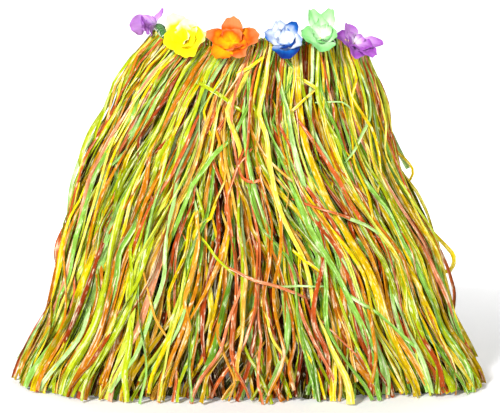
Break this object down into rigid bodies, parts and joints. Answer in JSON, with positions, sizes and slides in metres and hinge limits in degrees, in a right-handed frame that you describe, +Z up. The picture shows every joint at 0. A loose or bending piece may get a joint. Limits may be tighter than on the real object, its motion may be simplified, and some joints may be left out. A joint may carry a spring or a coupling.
{
  "type": "grass skirt",
  "caption": "Child's grass skirt of coloured raffia ribbons on a crocheted waist cord with flowers, hollow and standing on its hem.",
  "frame": {"origin": "on the surface that the skirt stands on, under the middle of its bounding box", "axes": "+Z up, +X to the skirt's right side as seen from the front, +Y to its back; the flowers face -Y"},
  "size_m": [0.5205, 0.2338, 0.408],
  "materials": {
    "cord_green": "crocheted green thread over elastic, with pale stitches",
    "ribbon_inner": "thin raffia-like film ribbon, creased lengthwise with fine fibre lines, satin sheen, all colours mixed, in the shade of the outer layers",
    "ribbon_yellow": "thin raffia-like film ribbon, creased lengthwise with fine fibre lines, satin sheen",
    "ribbon_lime": "thin raffia-like film ribbon, creased lengthwise with fine fibre lines, satin sheen",
    "ribbon_orange": "thin raffia-like film ribbon, creased lengthwise with fine fibre lines, satin sheen",
    "ribbon_green": "thin raffia-like film ribbon, creased lengthwise with fine fibre lines, satin sheen",
    "ribbon_red": "thin raffia-like film ribbon, creased lengthwise with fine fibre lines, satin sheen",
    "petal_purple": "thin woven polyester petal, dyed from a strong tip to a pale or white base, matt",
    "petal_yellow": "thin woven polyester petal, dyed from a strong tip to a pale or white base, matt",
    "petal_orange": "thin woven polyester petal, dyed from a strong tip to a pale or white base, matt",
    "petal_blue": "thin woven polyester petal, dyed from a strong tip to a pale or white base, matt",
    "petal_mint": "thin woven polyester petal, dyed from a strong tip to a pale or white base, matt"
  },
  "bodies": {
    "root": {"waistband": "cord_green", "inner_ribbons_01": "ribbon_inner", "inner_ribbons_02": "ribbon_inner", "inner_ribbons_03": "ribbon_inner", "inner_ribbons_04": "ribbon_inner", "inner_ribbons_05": "ribbon_inner", "inner_ribbons_06": "ribbon_inner", "inner_ribbons_07": "ribbon_inner", "inner_ribbons_08": "ribbon_inner", "inner_ribbons_09": "ribbon_inner", "inner_ribbons_10": "ribbon_inner", "inner_ribbons_11": "ribbon_inner", "inner_ribbons_12": "ribbon_inner", "fringe_yellow": "ribbon_yellow", "fringe_lime": "ribbon_lime", "fringe_orange": "ribbon_orange", "fringe_green": "ribbon_green", "fringe_red": "ribbon_red", "flower_purple_left": "petal_purple", "flower_yellow": "petal_yellow", "flower_orange": "petal_orange", "flower_blue": "petal_blue", "flower_mint": "petal_mint", "flower_purple_right": "petal_purple"}
  },
  "joints": []
}
